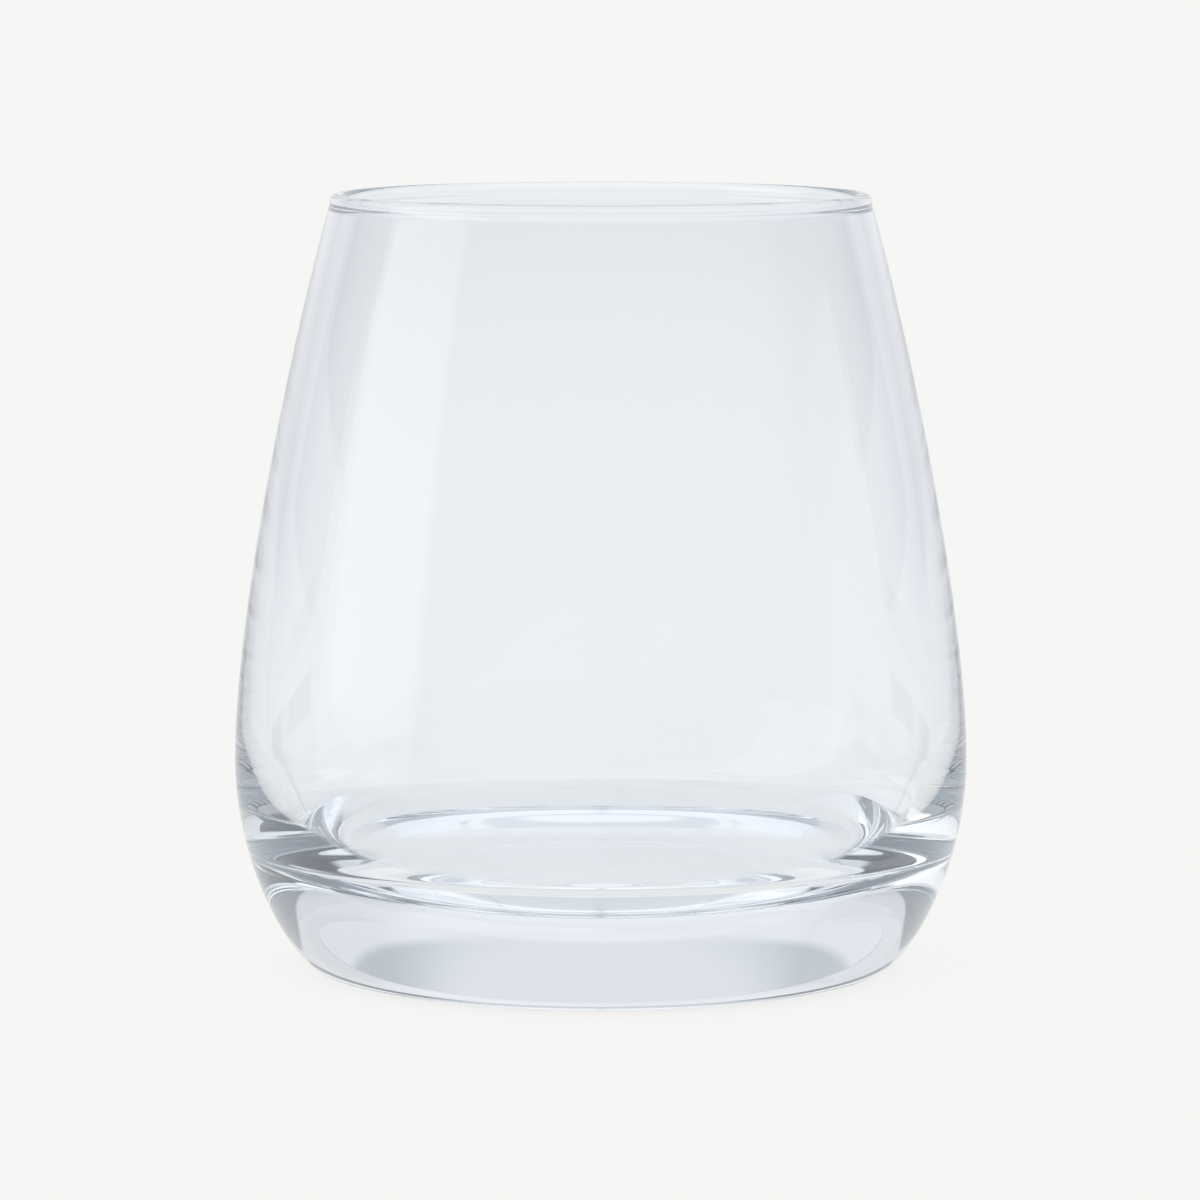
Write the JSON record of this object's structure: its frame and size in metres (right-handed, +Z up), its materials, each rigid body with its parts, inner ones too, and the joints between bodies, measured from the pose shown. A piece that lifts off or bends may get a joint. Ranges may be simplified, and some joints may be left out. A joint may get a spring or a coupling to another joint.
{
  "type": "double old fashioned glass",
  "caption": "Stemless clear glass tumbler for drinks: low full belly, wall leaning inward to a narrower fire-polished lip, heavy solid base with a shallow hollow under it.",
  "frame": {"origin": "on the glass's axis, in the plane of the ring it stands on", "axes": "+Z up along the glass's axis, from the base to the lip; the glass is round, so X and Y are free"},
  "size_m": [0.09, 0.09, 0.095],
  "materials": {
    "clear_glass": "clear soda-lime glass, fire-polished, with a faint cool tint where it is thick"
  },
  "bodies": {
    "root": {"glass_tumbler": "clear_glass"}
  },
  "joints": []
}
